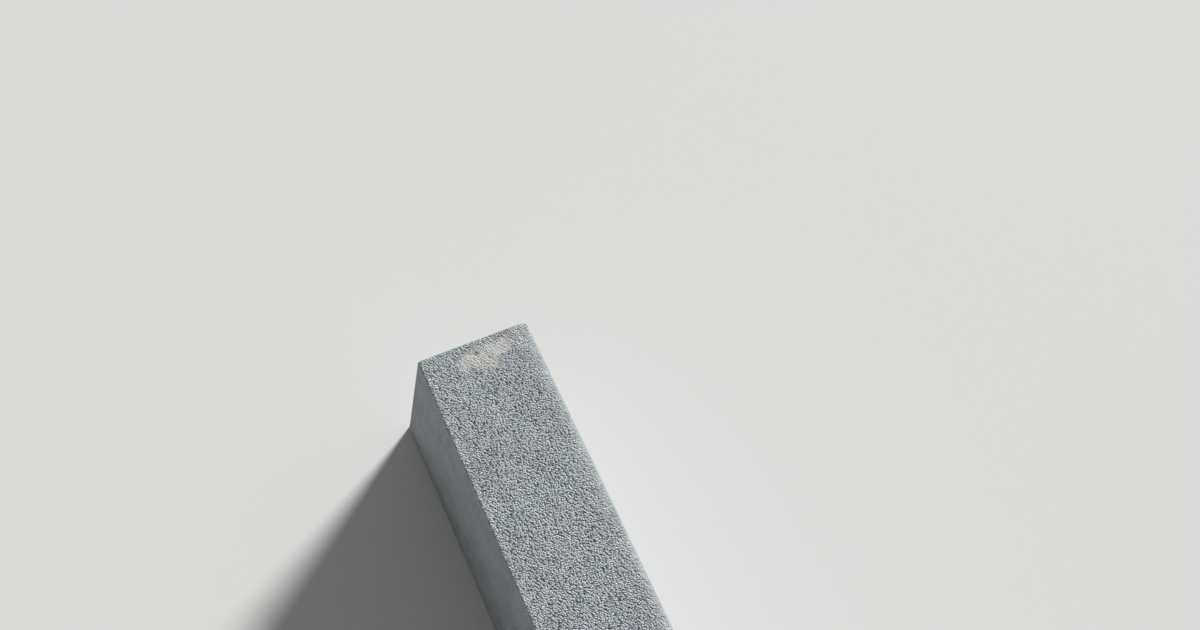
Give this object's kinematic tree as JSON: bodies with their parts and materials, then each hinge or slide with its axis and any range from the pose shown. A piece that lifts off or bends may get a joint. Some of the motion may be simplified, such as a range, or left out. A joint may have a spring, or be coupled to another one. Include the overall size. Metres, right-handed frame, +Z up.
{
  "type": "concrete kerb stone",
  "caption": "Straight precast concrete kerb stone with a battered face, a rounded road-side nose, a square back arris and flat ends that meet the next stone.",
  "frame": {"origin": "centre of the bed, the flat face that the stone stands on", "axes": "+X towards the road, out of the battered face; +Y along the stone; +Z up, out of the top"},
  "size_m": [0.17, 1, 0.28],
  "materials": {
    "concrete": "weathered bluish grey precast concrete, fine granular top, smoother cast sides"
  },
  "bodies": {
    "root": {"kerb_stone": "concrete"}
  },
  "joints": []
}
